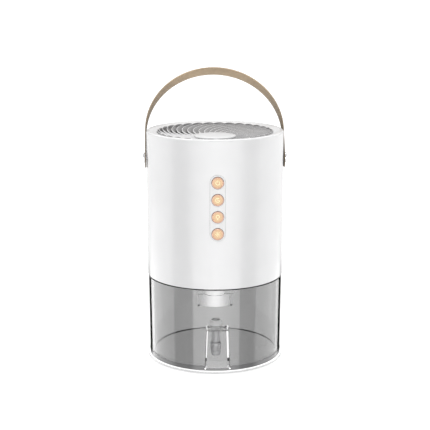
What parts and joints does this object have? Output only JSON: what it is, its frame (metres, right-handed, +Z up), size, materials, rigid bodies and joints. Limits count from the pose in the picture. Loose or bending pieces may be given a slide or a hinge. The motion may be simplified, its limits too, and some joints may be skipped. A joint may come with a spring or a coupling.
{
  "type": "dehumidifier",
  "caption": "Cylindrical desktop thermoelectric dehumidifier: white fan head with strap handle and button column on a clear smoke-grey water tank with a drain niche.",
  "frame": {"origin": "centre of the footprint on the floor, below the centre of the cylinder", "axes": "+Z up, -Y towards the front with the buttons and the drain niche, +X to the right as seen from the front"},
  "size_m": [0.1478, 0.1418, 0.2974],
  "materials": {
    "white_plastic": "satin white moulded plastic",
    "smoke_plastic": "clear smoke-grey moulded plastic",
    "frosted_plastic": "milky translucent plastic",
    "grey_plastic": "satin mid-grey plastic",
    "black_plastic": "matt black plastic",
    "button_plastic": "pearl peach plastic, lit from inside",
    "silicone": "soft translucent silicone",
    "foot_rubber": "matt dark rubber",
    "foam": "closed-cell foam",
    "circuit_board": "green solder mask",
    "ceramic": "white ceramic plates",
    "red_insulation": "red wire insulation",
    "strap_leather": "tan synthetic leather strap",
    "chrome": "bright plated metal",
    "steel": "zinc-plated steel",
    "aluminium": "extruded aluminium"
  },
  "bodies": {
    "tank": {"base_plate": "white_plastic", "foot_pad_1": "foot_rubber", "foot_pad_2": "foot_rubber", "foot_pad_3": "foot_rubber", "foot_pad_4": "foot_rubber", "tank_shell": "smoke_plastic", "drain_spout": "smoke_plastic", "drain_seal": "silicone"},
    "drain_plug": {"drain_cap": "smoke_plastic"},
    "head": {"housing_shell": "white_plastic", "chassis_plate": "white_plastic", "chassis_screw_1": "steel", "chassis_screw_2": "steel", "chassis_screw_3": "steel", "head_seal": "foot_rubber", "drip_nozzle": "frosted_plastic", "night_light_ring": "circuit_board", "level_probe_left": "steel", "level_probe_right": "steel", "drip_tray": "white_plastic", "hot_heatsink": "aluminium", "cold_heatsink": "aluminium", "peltier_module": "ceramic", "insulation_gasket": "foam", "sink_screw_left": "steel", "sink_screw_right": "steel", "inner_frame": "black_plastic", "fan_frame": "black_plastic", "fan_motor": "steel", "fan_screw_1": "steel", "fan_screw_2": "steel", "fan_screw_3": "steel", "fan_screw_4": "steel", "outlet_grille": "grey_plastic", "grille_hub_cap": "white_plastic", "button_bezel": "white_plastic", "control_board": "circuit_board", "tact_switch_power": "black_plastic", "tact_switch_timer": "black_plastic", "tact_switch_light": "black_plastic", "tact_switch_fan": "black_plastic", "dc_jack": "black_plastic", "peltier_lead_black": "black_plastic", "peltier_lead_red": "red_insulation", "fan_lead": "black_plastic", "supply_lead": "black_plastic", "light_lead": "black_plastic", "handle_rivet_left": "chrome", "handle_rivet_right": "chrome", "rivet_washer_left": "steel", "rivet_washer_right": "steel"},
    "handle": {"handle_strap": "strap_leather"},
    "fan": {"fan_impeller": "black_plastic", "fan_shaft": "steel"},
    "power_key": {"power_button": "button_plastic"},
    "timer_key": {"timer_button": "button_plastic"},
    "light_key": {"light_button": "button_plastic"},
    "fan_key": {"fan_button": "button_plastic"}
  },
  "joints": [
    {"name": "head_lift", "type": "slide", "parent": "tank", "child": "head", "axis": [0, 0, 1], "range_m": [0, 0.1]},
    {"name": "handle_swing", "type": "hinge", "parent": "head", "child": "handle", "pos_m": [0, 0, 0.2094], "axis": [1, 0, 0], "range_deg": [-92, 158]},
    {"name": "fan_spin", "type": "hinge", "parent": "head", "child": "fan", "pos_m": [0, 0, 0.212], "axis": [0, 0, 1], "continuous": true},
    {"name": "drain_cap_pull", "type": "slide", "parent": "tank", "child": "drain_plug", "axis": [0, 0, -1], "range_m": [0, 0.0105]},
    {"name": "power_press", "type": "slide", "parent": "head", "child": "power_key", "axis": [0, 1, 0], "range_m": [0, 0.001], "stiffness_N_per_m": 600},
    {"name": "timer_press", "type": "slide", "parent": "head", "child": "timer_key", "axis": [0, 1, 0], "range_m": [0, 0.001], "stiffness_N_per_m": 600},
    {"name": "light_press", "type": "slide", "parent": "head", "child": "light_key", "axis": [0, 1, 0], "range_m": [0, 0.001], "stiffness_N_per_m": 600},
    {"name": "fan_press", "type": "slide", "parent": "head", "child": "fan_key", "axis": [0, 1, 0], "range_m": [0, 0.001], "stiffness_N_per_m": 600}
  ]
}
